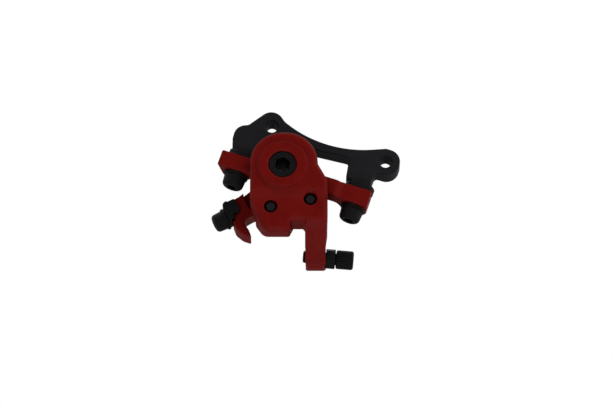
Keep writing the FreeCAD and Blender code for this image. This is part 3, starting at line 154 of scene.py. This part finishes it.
# The socket's floor, its rings as radii and heights in mm, and its scars, made of two waves
# that cross. Each wave has so many crests around, and a slant outwards.
SOCKET_FLOOR = Vector((-13.5, -19.1, -20.9)) * MM
SOCKET_RINGS = ((2.3, 0.36), (1.9, 0.48), (1.5, 0.36), (1.1, 0.52), (0.7, 0.38), (0.3, 0.6))
SOCKET_FACETS = 60
SCAR_HEIGHT = 0.15
SCAR_WAVES = ((7, 3), (11, -5))

# The ends of the two body screws. Each place is the middle of an end.
SCREW_POINTS = (
    Vector((-12.4833, -20.55, -39.6725)) * MM,
    Vector((2.2312, -20.55, -31.1942)) * MM,
)
SCREW_RADIUS = 2.15 * MM
SCREW_END_RADIUS = 1.75 * MM
SCREW_END_HEIGHT = 0.4 * MM
SCREW_FACETS = 48

# The distance at which two points of a mesh are the same.
SAME_POINT = 0.001 * MM

# Stands a shape that was made lying flat upright, with its top to the front.
TOP_TO_FRONT = Matrix.Rotation(math.pi / 2, 4, "X")


def camera_axes():
    """The photograph's right, up and back directions in the caliper's own frame."""
    right = Vector((math.cos(ROLL), 0, math.sin(ROLL)))
    up = Vector(
        (
            -math.sin(ROLL) * math.cos(LOOK_UP),
            -math.sin(LOOK_UP),
            math.cos(ROLL) * math.cos(LOOK_UP),
        )
    )
    return right, up, right.cross(up)


TOWARDS_CAMERA = camera_axes()[2]

# Each lamp's name, its direction from the caliper, its distance, its width and its power.
SOFTBOXES = (
    ("front_fill", TOWARDS_CAMERA, 0.9, 0.8, 2.9),
    ("upper_key", (0.35, -0.8, 0.8), 0.8, 0.4, 3.0),
    ("under_fill", (0.1, -0.2, -1), 0.65, 0.6, 1.1),
    ("rear_fill", (0.2, 1, 0.25), 0.9, 0.8, 5.0),
    ("left_fill", (-1, -0.15, 0.1), 0.9, 0.6, 1.4),
    ("right_fill", (1, -0.15, 0.1), 0.9, 0.6, 2.2),
)


def add_camera():
    """A long lens at the photograph's angle, so that the bracket lands on its own pixels."""
    right, up, back = camera_axes()
    across = (BRACKET_PIXEL[0] - IMAGE_WIDTH / 2) / PIXELS_PER_MM * MM
    down = (BRACKET_PIXEL[1] - IMAGE_HEIGHT / 2) / PIXELS_PER_MM * MM
    aim = BRACKET_FRONT - right * across + up * down
    data = bpy.data.cameras.new("photo_camera")
    data.sensor_width = SENSOR_WIDTH
    data.lens = CAMERA_DISTANCE / MM * PIXELS_PER_MM * SENSOR_WIDTH / IMAGE_WIDTH
    data.clip_start = NEAREST_SEEN
    data.clip_end = FARTHEST_SEEN
    camera = bpy.data.objects.new("photo_camera", data)
    SCENE.collection.objects.link(camera)
    turn = Matrix((right, up, back)).transposed().to_4x4()
    camera.matrix_world = Matrix.Translation(aim + back * CAMERA_DISTANCE) @ turn
    SCENE.camera = camera


def add_node(tree, kind, inputs=None, **settings):
    """A shader node with its settings, and its inputs set to values or linked to outputs."""
    node = tree.nodes.new(kind)
    for name, value in settings.items():
        setattr(node, name, value)
    for name, value in (inputs or {}).items():
        if isinstance(value, bpy.types.NodeSocket):
            tree.links.new(value, node.inputs[name])
        else:
            node.inputs[name].default_value = value
    return node


def calculate(tree, operation, first, second):
    """The result of one operation on two values."""
    return add_node(
        tree, "ShaderNodeMath", {0: first, 1: second}, operation=operation
    ).outputs["Value"]


def dot_product(tree, first, second):
    """How far two directions agree, from -1 to 1."""
    return add_node(
        tree, "ShaderNodeVectorMath", {0: first, 1: second}, operation="DOT_PRODUCT"
    ).outputs["Value"]


def object_place(tree):
    """Each point's place in its object, by which every pattern is laid out."""
    return add_node(tree, "ShaderNodeTexCoord").outputs["Object"]


def blend_colours(tree, share, first, second):
    """The mix of two colours."""
    inputs = {MIX_SHARE: share, FIRST_COLOUR: first, SECOND_COLOUR: second}
    return add_node(tree, "ShaderNodeMix", inputs, data_type="RGBA").outputs[MIXED_COLOUR]


def blend_values(tree, share, first, second):
    """The mix of two plain numbers."""
    inputs = {MIX_SHARE: share, FIRST_VALUE: first, SECOND_VALUE: second}
    return add_node(tree, "ShaderNodeMix", inputs).outputs[MIXED_VALUE]


def scale_between(tree, value, low, high, to_low=0.0, to_high=1.0):
    """A value taken from one range to another and held inside it."""
    ranged = add_node(
        tree,
        "ShaderNodeMapRange",
        {
            "Value": value,
            "From Min": low,
            "From Max": high,
            "To Min": to_low,
            "To Max": to_high,
        },
        clamp=True,
    )
    return ranged.outputs["Result"]


def cloudy_noise(tree, place, scale, detail, roughness):
    """A soft uneven pattern, from 0 to 1."""
    return add_node(
        tree,
        "ShaderNodeTexNoise",
        {"Vector": place, "Scale": scale, "Detail": detail, "Roughness": roughness},
    ).outputs["Fac"]


def light_world():
    """Dim surroundings for the reflections, brightest above, and plain white for the camera."""
    world = bpy.data.worlds.new("pale_tent")
    SCENE.world = world
    world.use_nodes = True
    tree = world.node_tree
    tree.nodes.clear()
    direction = add_node(tree, "ShaderNodeTexCoord").outputs["Generated"]
    facing = dot_product(tree, direction, TOWARDS_CAMERA)
    sides = scale_between(tree, facing, SIDE_ON, NEARLY_BEHIND, 1.0, BEHIND_CAMERA)
    upward = dot_product(tree, direction, (0, 0, 1))
    height = scale_between(tree, upward, WELL_BELOW, NEARLY_ABOVE, TENT_LOW, TENT_HIGH)
    tent = calculate(tree, "MULTIPLY", sides, height)
    camera_ray = add_node(tree, "ShaderNodeLightPath").outputs["Is Camera Ray"]
    seen = blend_values(tree, camera_ray, tent, WHITE_STRENGTH)
    backdrop = add_node(
        tree, "ShaderNodeBackground", {"Color": (1, 1, 1, 1), "Strength": seen}
    ).outputs["Background"]
    add_node(tree, "ShaderNodeOutputWorld", {"Surface": backdrop})


def add_softbox(name, towards, distance, width, power):
    """A square soft lamp that faces the caliper from a direction and shows in no reflection."""
    data = bpy.data.lights.new(name, "AREA")
    data.shape = "SQUARE"
    data.size = width
    data.energy = power
    lamp = bpy.data.objects.new(name, data)
    SCENE.collection.objects.link(lamp)
    back = Vector(towards).normalized()
    lamp.matrix_world = (
        Matrix.Translation(PAD_AXIS + back * distance)
        @ back.to_track_quat("Z", "Y").to_matrix().to_4x4()
    )
    lamp.visible_camera = False
    lamp.visible_glossy = False


def start_material(name):
    """A new material with its node tree and its shader."""
    material = bpy.data.materials.new(name)
    material.use_nodes = True
    tree = material.node_tree
    return material, tree, tree.nodes["Principled BSDF"]


def add_floor():
    """A plain pale floor well below the caliper, which shows in no reflection."""
    mesh = bpy.data.meshes.new("floor")
    shape = bmesh.new()
    bmesh.ops.create_grid(shape, x_segments=1, y_segments=1, size=FLOOR_REACH)
    bmesh.ops.translate(shape, verts=shape.verts, vec=(0, 0, FLOOR_LEVEL))
    shape.to_mesh(mesh)
    shape.free()
    floor = bpy.data.objects.new("floor", mesh)
    SCENE.collection.objects.link(floor)
    paint, _, shader = start_material("pale_floor")
    shader.inputs["Base Color"].default_value = (FLOOR_TONE, FLOOR_TONE, FLOOR_TONE, 1)
    shader.inputs["Roughness"].default_value = FLOOR_ROUGHNESS
    mesh.materials.append(paint)
    floor.visible_glossy = False


def new_group(name, inputs, outputs):
    """An empty shader node group with named sockets, its given values and its results."""
    tree = bpy.data.node_groups.new(name, "ShaderNodeTree")
    kinds = {"value": "NodeSocketFloat", "vector": "NodeSocketVector"}
    for label, kind, default in inputs:
        socket = tree.interface.new_socket(label, in_out="INPUT", socket_type=kinds[kind])
        socket.default_value = default
    for label, kind in outputs:
        tree.interface.new_socket(label, in_out="OUTPUT", socket_type=kinds[kind])
    given = tree.nodes.new("NodeGroupInput").outputs
    results = tree.nodes.new("NodeGroupOutput").inputs
    return tree, given, results


def place_group(tree, group, inputs):
    """One use of a node group inside a material."""
    return add_node(tree, "ShaderNodeGroup", inputs, node_tree=group).outputs


def make_edge_and_shade_masks():
    """Rounded edge normals, with a mask of outer edges that are lightened as rubbed paint and as
    a painted highlight, and a mask of hollows that get painted shade.
    """
    tree, given, results = new_group(
        "edge_and_shade_masks",
        [("Radius", "value", 0.4 * MM), ("Patch Scale", "value", 400.0), ("Cover", "value", 0.5)],
        [("Normal", "vector"), ("Edge", "value"), ("Hollow Shade", "value")],
    )
    rounded = add_node(
        tree, "ShaderNodeBevel", {"Radius": given["Radius"]}, samples=EDGE_RAYS
    ).outputs["Normal"]
    surface = add_node(tree, "ShaderNodeNewGeometry").outputs["Normal"]
    agreement = dot_product(tree, rounded, surface)
    bend = scale_between(tree, agreement, EDGE_STARTS, EDGE_FULL)
    shade = add_node(
        tree,
        "ShaderNodeAmbientOcclusion",
        {"Distance": HOLLOW_REACH},
        samples=EDGE_RAYS,
        only_local=False,
    ).outputs["AO"]
    open_side = scale_between(tree, shade, RUB_AND_HIGHLIGHT_STARTS, RUB_AND_HIGHLIGHT_FULL)
    patches = cloudy_noise(
        tree, object_place(tree), given["Patch Scale"], detail=5.0, roughness=0.62
    )
    limit = calculate(tree, "SUBTRACT", 1.0, given["Cover"])
    past_limit = calculate(tree, "SUBTRACT", patches, limit)
    rubbed_and_highlit = scale_between(tree, past_limit, -RUB_AND_HIGHLIGHT_FADE, RUB_AND_HIGHLIGHT_FADE)
    # The edge mask marks rubbed paint and also a painted highlight along outer edges.
    edge = calculate(tree, "MULTIPLY", bend, open_side)
    tree.links.new(rounded, results["Normal"])
    tree.links.new(calculate(tree, "MULTIPLY", edge, rubbed_and_highlit), results["Edge"])
    # Painted shade: the more closed in a place is, the darker its colour is made.
    hollow_shade = scale_between(tree, shade, HOLLOW_SHADE_STARTS, HOLLOW_SHADE_FULL)
    tree.links.new(hollow_shade, results["Hollow Shade"])
    return tree


def make_cast_skin():
    """The faint orange peel and cloudy tone of a coated casting, as a height and a tone."""
    tree, given, results = new_group(
        "cast_skin",
        [("Peel Scale", "value", 1400.0), ("Cloud Scale", "value", 110.0)],
        [("Height", "value"), ("Cloud", "value")],
    )
    place = object_place(tree)
    peel = cloudy_noise(tree, place, given["Peel Scale"], detail=3.0, roughness=0.5)
    clouds = cloudy_noise(tree, place, given["Cloud Scale"], detail=4.0, roughness=0.6)
    tree.links.new(peel, results["Height"])
    tone = scale_between(tree, clouds, CLOUD_STARTS, CLOUD_FULL)
    tree.links.new(tone, results["Cloud"])
    return tree


def make_lathe_marks():
    """Fine rings about an axis, as a lathe leaves them, as a height."""
    tree, given, results = new_group(
        "lathe_marks",
        [("Place", "vector", (0, 0, 0)), ("Ring Scale", "value", 4500.0)],
        [("Height", "value")],
    )
    rings = add_node(
        tree,
        "ShaderNodeTexWave",
        {
            "Vector": given["Place"],
            "Scale": given["Ring Scale"],
            "Distortion": 1.5,
            "Detail": 2.0,
        },
        wave_type="RINGS",
        rings_direction="Y",
    ).outputs["Fac"]
    tree.links.new(rings, results["Height"])
    return tree


def make_grains():
    """Round grains, as in rubber or pressed friction lining, as a mask and a height."""
    tree, given, results = new_group(
        "grains",
        [("Grain Scale", "value", 1300.0)],
        [("Grain", "value"), ("Height", "value")],
    )
    cells = add_node(
        tree,
        "ShaderNodeTexVoronoi",
        {"Vector": object_place(tree), "Scale": given["Grain Scale"], "Randomness": 1.0},
    ).outputs["Distance"]
    grain = scale_between(tree, cells, GRAIN_STARTS, GRAIN_FULL)
    tree.links.new(grain, results["Grain"])
    tree.links.new(cells, results["Height"])
    return tree


EDGE_AND_SHADE_MASKS = make_edge_and_shade_masks()
CAST_SKIN = make_cast_skin()
LATHE_MARKS = make_lathe_marks()
GRAINS = make_grains()


def toned(colour, factor=1.0):
    """An opaque colour, made darker or lighter by a factor."""
    return (*(value * factor for value in colour), 1)


def add_relief(tree, shader, strength, depth, height, normal=None):
    """Gives a shader the fine relief of a height pattern."""
    inputs = {"Strength": strength, "Distance": depth, "Height": height}
    if normal:
        inputs["Normal"] = normal
    bump = add_node(tree, "ShaderNodeBump", inputs)
    tree.links.new(bump.outputs["Normal"], shader.inputs["Normal"])


def coated_metal(name, colour, rubbed_and_highlit, hollow_shade, roughness, shine, edge, cover, peel):
    """A painted, anodised or oxide-coated metal with a fine skin, painted shade in its hollows,
    and outer edges lightened as worn paint and as a painted highlight.
    """
    material, tree, shader = start_material(name)
    wear_and_shade = place_group(tree, EDGE_AND_SHADE_MASKS, {"Radius": edge, "Cover": cover})
    skin = place_group(tree, CAST_SKIN, {})
    dark, light = toned(colour, COATING_DARK), toned(colour, COATING_LIGHT)
    tone = blend_colours(tree, skin["Cloud"], dark, light)
    # Painted shade in hollows.
    tone = blend_colours(tree, wear_and_shade["Hollow Shade"], tone, toned(hollow_shade))
    # Outer edges lightened as rubbed paint and as a painted highlight.
    tone = blend_colours(tree, wear_and_shade["Edge"], tone, toned(rubbed_and_highlit))
    tree.links.new(tone, shader.inputs["Base Color"])
    smooth, rough = roughness - COATING_VARIES, roughness + COATING_VARIES
    gloss = scale_between(tree, skin["Cloud"], 0.0, 1.0, smooth, rough)
    tree.links.new(gloss, shader.inputs["Roughness"])
    shader.inputs["Specular IOR Level"].default_value = shine
    add_relief(tree, shader, peel, PEEL_DEPTH, skin["Height"], wear_and_shade["Normal"])
    return material


def bare_metal(name, colour, roughness, marks):
    """A machined metal with lathe marks about the pad axis."""
    material, tree, shader = start_material(name)
    wear_and_shade = place_group(tree, EDGE_AND_SHADE_MASKS, {"Radius": METAL_EDGE, "Cover": METAL_COVER})
    skin = place_group(tree, CAST_SKIN, {"Cloud Scale": METAL_CLOUDS})
    centred = add_node(
        tree,
        "ShaderNodeMapping",
        {"Vector": object_place(tree), "Location": -PAD_AXIS},
        vector_type="POINT",
    ).outputs["Vector"]
    lathe = place_group(tree, LATHE_MARKS, {"Place": centred})
    tone = blend_colours(tree, skin["Cloud"], toned(colour, METAL_DARK), toned(colour))
    tree.links.new(tone, shader.inputs["Base Color"])
    shader.inputs["Metallic"].default_value = 1.0
    smooth, rough = roughness - METAL_VARIES, roughness + METAL_VARIES
    gloss = scale_between(tree, skin["Cloud"], 0.0, 1.0, smooth, rough)
    tree.links.new(gloss, shader.inputs["Roughness"])
    add_relief(tree, shader, marks, MARK_DEPTH, lathe["Height"], wear_and_shade["Normal"])
    return material


def grainy_solid(name, colour, fleck, roughness, grain):
    """Rubber or pressed friction material, with grains of another tone."""
    material, tree, shader = start_material(name)
    grains = place_group(tree, GRAINS, {"Grain Scale": grain})
    tone = blend_colours(tree, grains["Grain"], toned(colour), toned(fleck))
    tree.links.new(tone, shader.inputs["Base Color"])
    shader.inputs["Roughness"].default_value = roughness
    add_relief(tree, shader, GRAIN_STRENGTH, GRAIN_DEPTH, grains["Height"])
    return material


# Each coating's colour, also on its rubbed edges, which are lightened both as worn paint and as a
# painted highlight, and in hollows, where it is darkened as painted shade; its roughness and
# shine, the radius that its edges are rounded to, how much of them is rubbed and highlit, and how
# strong its peel is.
COATINGS = {
    "red_casting": {
        "colour": (0.120, 0.0036, 0.0026),
        "rubbed_and_highlit": (0.150, 0.0100, 0.0080),
        "hollow_shade": (0.050, 0.0016, 0.0013),
        "roughness": 0.42,
        "shine": 0.10,
        "edge": 0.5 * MM,
        "cover": 0.55,
        "peel": 0.18,
    },
    "black_bracket": {
        "colour": (0.0110, 0.0101, 0.0118),
        "rubbed_and_highlit": (0.030, 0.028, 0.031),
        "hollow_shade": (0.0030, 0.0030, 0.0034),
        "roughness": 0.50,
        "shine": 0.2,
        "edge": 0.4 * MM,
        "cover": 0.5,
        "peel": 0.2,
    },
    "black_steel": {
        "colour": (0.0074, 0.0074, 0.0081),
        "rubbed_and_highlit": (0.026, 0.026, 0.028),
        "hollow_shade": (0.0020, 0.0020, 0.0022),
        "roughness": 0.42,
        "shine": 0.2,
        "edge": 0.25 * MM,
        "cover": 0.45,
        "peel": 0.1,
    },
    "black_alloy": {
        "colour": (0.0072, 0.0065, 0.0075),
        "rubbed_and_highlit": (0.026, 0.025, 0.027),
        "hollow_shade": (0.0020, 0.0020, 0.0022),
        "roughness": 0.40,
        "shine": 0.2,
        "edge": 0.2 * MM,
        "cover": 0.45,
        "peel": 0.1,
    },
}

# Each bare metal's colour and roughness, and how strong its lathe marks are.
BARE_METALS = {
    "bright_steel": {"colour": (0.56, 0.56, 0.57), "roughness": 0.30, "marks": 0.4},
    "bright_alloy": {"colour": (0.66, 0.66, 0.68), "roughness": 0.34, "marks": 0.4},
    "brass_cage": {"colour": (0.60, 0.43, 0.17), "roughness": 0.32, "marks": 0.3},
    "spring_steel": {"colour": (0.060, 0.060, 0.064), "roughness": 0.34, "marks": 0.2},
}

# Each grainy material's colour, the colour of its grains, its roughness and its grains' scale.
GRAINY_SOLIDS = {
    "black_rubber": {
        "colour": (0.012, 0.012, 0.012),
        "fleck": (0.018, 0.018, 0.018),
        "roughness": 0.75,
        "grain": 2200.0,
    },
    "friction_lining": {
        "colour": (0.040, 0.036, 0.032),
        "fleck": (0.30, 0.17, 0.08),
        "roughness": 0.85,
        "grain": 1300.0,
    },
}

FINISHES = {
    **{name: coated_metal(name, **look) for name, look in COATINGS.items()},
    **{name: bare_metal(name, **look) for name, look in BARE_METALS.items()},
    **{name: grainy_solid(name, **look) for name, look in GRAINY_SOLIDS.items()},
}


def finish_nodes():
    """Gives each solid of the frame the material of its slot."""
    for part in frame["record"]["subparts"]:
        mesh = frame["nodes"][part["node"]].data
        mesh.materials.clear()
        mesh.materials.append(FINISHES[part["material_slot"]])


def placed_mesh(name, shape, place, slot, body=None):
    """A finished piece from a bmesh, with its place in its mesh, riding on a body if named."""
    bmesh.ops.recalc_face_normals(shape, faces=shape.faces)
    mesh = bpy.data.meshes.new(name)
    shape.to_mesh(mesh)
    shape.free()
    mesh.transform(place)
    piece = bpy.data.objects.new(name, mesh)
    SCENE.collection.objects.link(piece)
    mesh.materials.append(FINISHES[slot])
    if body:
        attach(piece, body)
    return piece


def closed_outline(shape, points):
    """The corners and edges of a closed outline through some points."""
    corners = [shape.verts.new(point) for point in points]
    edges = [shape.edges.new((corners[i - 1], corners[i])) for i in range(len(corners))]
    return corners, edges


def make_barrel_threads():
    """The fine thread along the barrel adjuster's shank, one ridge wound from end to end."""
    shape = bmesh.new()
    ridge = [(THREAD_START + along * MM, 0, radius * MM) for along, radius in THREAD_RIDGE]
    corners, _ = closed_outline(shape, ridge)
    first = bmesh.ops.contextual_create(shape, geom=corners)["faces"]
    bmesh.ops.spin(
        shape,
        geom=first,
        cent=(0, 0, 0),
        axis=(1, 0, 0),
        dvec=(THREAD_PITCH / STEPS_IN_A_TURN, 0, 0),
        angle=math.tau * THREAD_TURNS,
        steps=STEPS_IN_A_TURN * THREAD_TURNS,
        use_duplicate=False,
    )
    place = Matrix.Translation(BARREL_PLACE) @ Matrix.Rotation(-BARREL_TURN, 4, "Y")
    placed_mesh("barrel_threads", shape, place, "black_alloy", "barrel")


def make_click_rim():
    """The pad adjuster's rim, with the fine notches that give its clicks."""
    shape = bmesh.new()
    profile = [(radius * MM, depth * MM, 0) for radius, depth in RIM_PROFILE]
    corners, edges = closed_outline(shape, profile)
    steps = RIM_NOTCHES * 2
    bmesh.ops.spin(
        shape,
        geom=corners + edges,
        cent=(0, 0, 0),
        axis=(0, 1, 0),
        angle=math.tau,
        steps=steps,
        use_merge=True,
        use_duplicate=False,
    )
    bmesh.ops.remove_doubles(shape, verts=shape.verts, dist=SAME_POINT)
    notched = []
    for face in shape.faces:
        middle = face.calc_center_median()
        turn = math.atan2(middle.z, middle.x) % math.tau
        if middle.xz.length > RIM_OUTSIDE and int(turn / math.tau * steps) % 2:
            notched.append(face)
    bmesh.ops.inset_region(shape, faces=notched, thickness=NOTCH_MARGIN, depth=0)
    sunk = {vert for face in notched for vert in face.verts}
    for vert in sunk:
        shrink = 1 - NOTCH_DEPTH / vert.co.xz.length
        vert.co.x *= shrink
        vert.co.z *= shrink
    place = Matrix.Translation(PAD_AXIS + Vector((0, ADJUSTER_RIM, 0)))
    placed_mesh("adjuster_click_rim", shape, place, "black_steel", "adjuster")


def scar_height(angle, radius):
    """How far the socket's floor stands up or down at a place, in mm."""
    waves = [math.sin(around * angle + slant * radius) for around, slant in SCAR_WAVES]
    return SCAR_HEIGHT * math.prod(waves)


def make_socket_floor():
    """The rough drilled floor of the pad adjuster's socket, with its scars."""
    shape = bmesh.new()
    outside = SOCKET_RINGS[0][0] * MM
    bmesh.ops.create_circle(shape, cap_ends=True, segments=SOCKET_FACETS, radius=outside)
    edges = list(shape.edges)
    for radius, height in SOCKET_RINGS:
        made = bmesh.ops.extrude_edge_only(shape, edges=edges)["geom"]
        verts = [item for item in made if isinstance(item, bmesh.types.BMVert)]
        edges = [item for item in made if isinstance(item, bmesh.types.BMEdge)]
        for vert in verts:
            angle = math.atan2(vert.co.y, vert.co.x)
            across = radius * math.cos(angle)
            up = radius * math.sin(angle)
            vert.co = Vector((across, up, height + scar_height(angle, radius))) * MM
    bmesh.ops.contextual_create(shape, geom=edges)
    place = Matrix.Translation(SOCKET_FLOOR) @ TOP_TO_FRONT
    placed_mesh("socket_floor", shape, place, "bright_steel", "adjuster")


def make_screw_points():
    """The flat, rubbed ends of the two body screws, seen in the inner casting's holes."""
    shape = bmesh.new()
    for place in SCREW_POINTS:
        bmesh.ops.create_cone(
            shape,
            cap_ends=True,
            segments=SCREW_FACETS,
            radius1=SCREW_RADIUS,
            radius2=SCREW_END_RADIUS,
            depth=SCREW_END_HEIGHT,
            matrix=Matrix.Translation(place) @ TOP_TO_FRONT,
        )
    placed_mesh("screw_points", shape, Matrix(), "black_bracket", "caliper")


def wind_return_spring():
    """The return spring again, as a smooth-shaded copy of its mesh with its points merged, in
    place of the hidden original.
    """
    shape = bmesh.new()
    shape.from_mesh(frame["nodes"]["return_spring"].data)
    bmesh.ops.remove_doubles(shape, verts=shape.verts, dist=SAME_POINT)
    piece = placed_mesh("winding_spring", shape, Matrix(), "spring_steel")
    for face in piece.data.polygons:
        face.use_smooth = True
    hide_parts("return_spring")
    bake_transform(piece)


add_camera()
light_world()
add_floor()
for softbox in SOFTBOXES:
    add_softbox(*softbox)
finish_nodes()
make_barrel_threads()
make_click_rim()
make_socket_floor()
make_screw_points()
wind_return_spring()

SCENE.view_settings.view_transform = "Standard"
